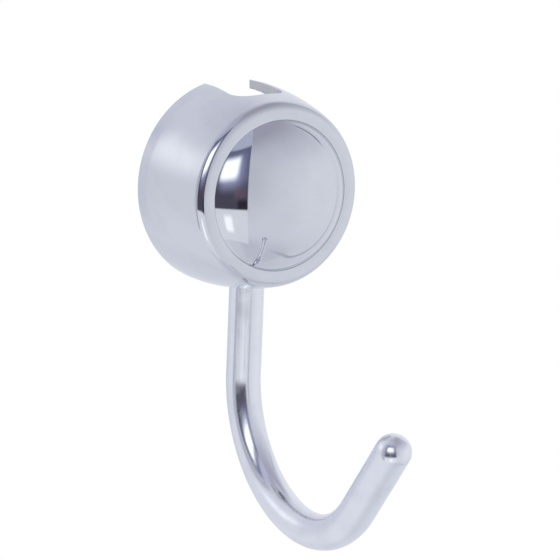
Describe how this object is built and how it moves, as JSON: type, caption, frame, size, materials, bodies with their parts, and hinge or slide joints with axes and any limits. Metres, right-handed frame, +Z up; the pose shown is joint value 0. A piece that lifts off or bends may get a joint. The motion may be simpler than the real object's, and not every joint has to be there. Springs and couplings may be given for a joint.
{
  "type": "robe hook",
  "caption": "Wall-mounted robe hook: a round chromed cover with a ringed, domed front and rim notches over a wall bracket, and a round bar bent to a deep J",
  "frame": {"origin": "centre of the wall face of the wall plate, on the axis of the round cover", "axes": "+Z up the wall, the wall is the plane y = 0 with its inside towards +Y, the hook stands out towards -Y, +X to the right seen from the front"},
  "size_m": [0.047, 0.0708, 0.1003],
  "materials": {
    "chrome": "polished chrome plate",
    "zinc_plated_steel": "pressed steel, bright zinc plate",
    "cast_zinc": "zinc die casting, as cast",
    "stainless_steel": "machined stainless steel"
  },
  "bodies": {
    "bracket": {"wall_plate": "zinc_plated_steel", "rod_block": "cast_zinc", "block_screw_upper": "stainless_steel", "block_screw_lower": "stainless_steel", "hook_rod": "chrome", "rod_grub_screw_upper": "stainless_steel", "rod_grub_screw_lower": "stainless_steel"},
    "cover": {"cover_shell": "chrome", "bezel_ring": "chrome", "front_dome": "chrome"},
    "set_screw": {"set_screw": "stainless_steel"}
  },
  "joints": [
    {"name": "cover_pull", "type": "slide", "parent": "bracket", "child": "cover", "axis": [0, -1, 0], "range_m": [0, 0.028]},
    {"name": "set_screw_turn", "type": "hinge", "parent": "cover", "child": "set_screw", "pos_m": [0.01337, -0.006, -0.01593], "axis": [0.6428, 0, -0.766], "range_deg": [0, 630]}
  ]
}
